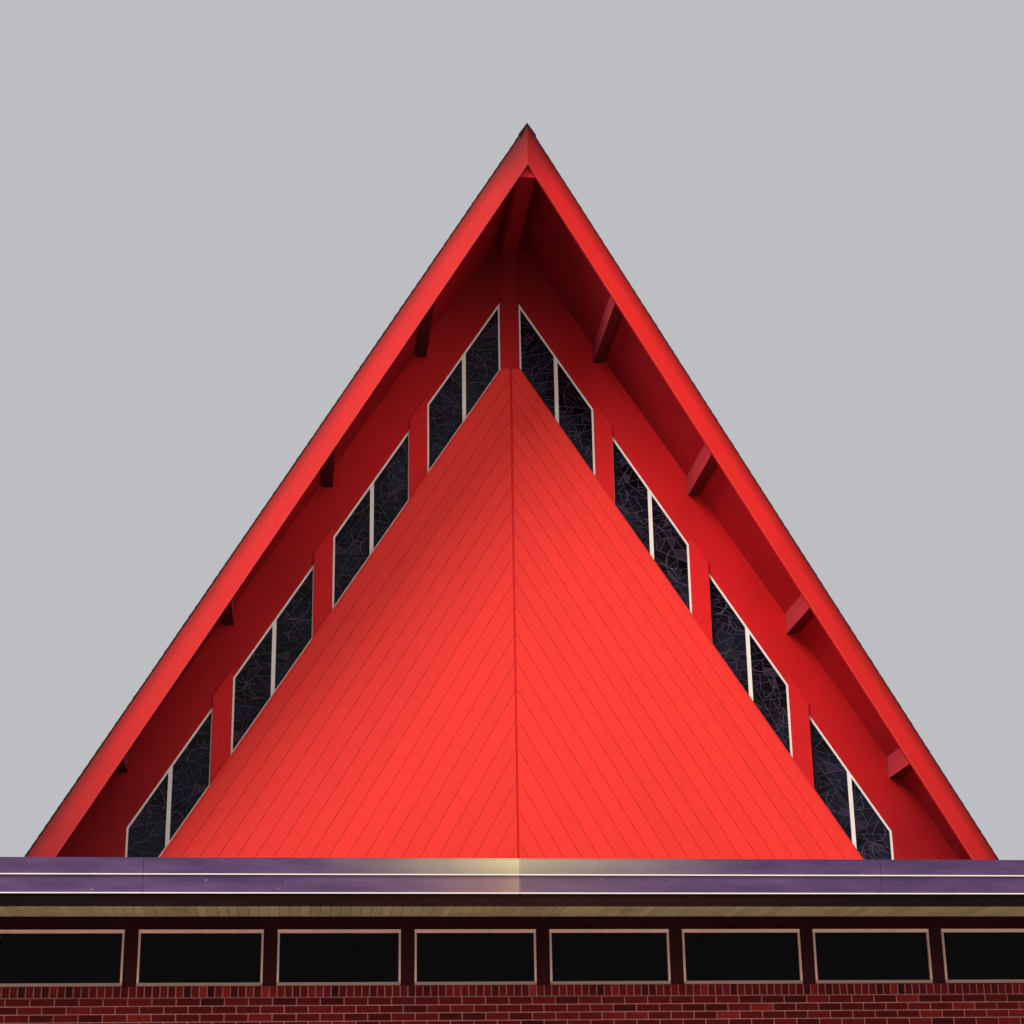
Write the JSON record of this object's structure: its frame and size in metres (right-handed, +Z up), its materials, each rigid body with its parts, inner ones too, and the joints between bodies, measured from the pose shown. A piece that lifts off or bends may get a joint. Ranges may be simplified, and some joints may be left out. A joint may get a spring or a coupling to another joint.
{
  "type": "modern church building",
  "caption": "Modern church: a steep A-frame nave with red boarded gables and sloping leaded windows behind a low flat-roofed brick wing.",
  "frame": {"origin": "middle of the footprint's bounding box at ground level", "axes": "+Z up, -Y towards the front with the low wing, +X to the viewer's right when facing the front"},
  "size_m": [16.0104, 27.3629, 13.4534],
  "materials": {
    "brick": "dark red brick",
    "concrete": "smooth concrete",
    "window_frame": "dark maroon paint, pinkish frames",
    "glass": "dark tinted glass",
    "flat_roof": "matt roofing felt",
    "fascia_metal": "purple metallic paint",
    "dark_trim": "dark maroon paint",
    "soffit": "tan paint",
    "shingle": "dark shingles over red painted boards",
    "red_board": "bright red paint",
    "red_boarding": "bright red paint",
    "beam_paint": "dark red paint",
    "wall_paint": "red paint",
    "sash_paint": "cream paint",
    "door_wood": "stained timber"
  },
  "bodies": {
    "root": {"front_barge_left": "red_board", "front_barge_right": "red_board", "front_boarding_left": "red_boarding", "front_boarding_right": "red_boarding", "front_gable_glass_left": "glass", "front_gable_glass_right": "glass", "front_gable_lining": "wall_paint", "front_gable_wall": "wall_paint", "front_windows_left": "sash_paint", "front_windows_right": "sash_paint", "nave_floor": "concrete", "nave_front_base_wall": "brick", "nave_left_wall": "brick", "nave_rear_base_wall": "brick", "nave_right_wall": "brick", "purlin_left_1": "beam_paint", "purlin_left_2": "beam_paint", "purlin_left_3": "beam_paint", "purlin_left_4": "beam_paint", "purlin_right_1": "beam_paint", "purlin_right_2": "beam_paint", "purlin_right_3": "beam_paint", "purlin_right_4": "beam_paint", "rear_barge_left": "red_board", "rear_barge_right": "red_board", "rear_boarding_left": "red_boarding", "rear_boarding_right": "red_boarding", "rear_doors": "door_wood", "rear_gable_glass_left": "glass", "rear_gable_glass_right": "glass", "rear_gable_lining": "wall_paint", "rear_gable_wall": "wall_paint", "rear_windows_left": "sash_paint", "rear_windows_right": "sash_paint", "ridge_beam": "beam_paint", "roof_left": "shingle", "roof_right": "shingle", "wing_eave_board": "dark_trim", "wing_fascia": "fascia_metal", "wing_floor": "concrete", "wing_front_glass": "glass", "wing_front_wall": "brick", "wing_front_window_band": "window_frame", "wing_left_glass": "glass", "wing_left_wall": "brick", "wing_left_window_band": "window_frame", "wing_right_glass": "glass", "wing_right_wall": "brick", "wing_right_window_band": "window_frame", "wing_roof_deck": "flat_roof", "wing_soffit": "soffit"}
  },
  "joints": []
}
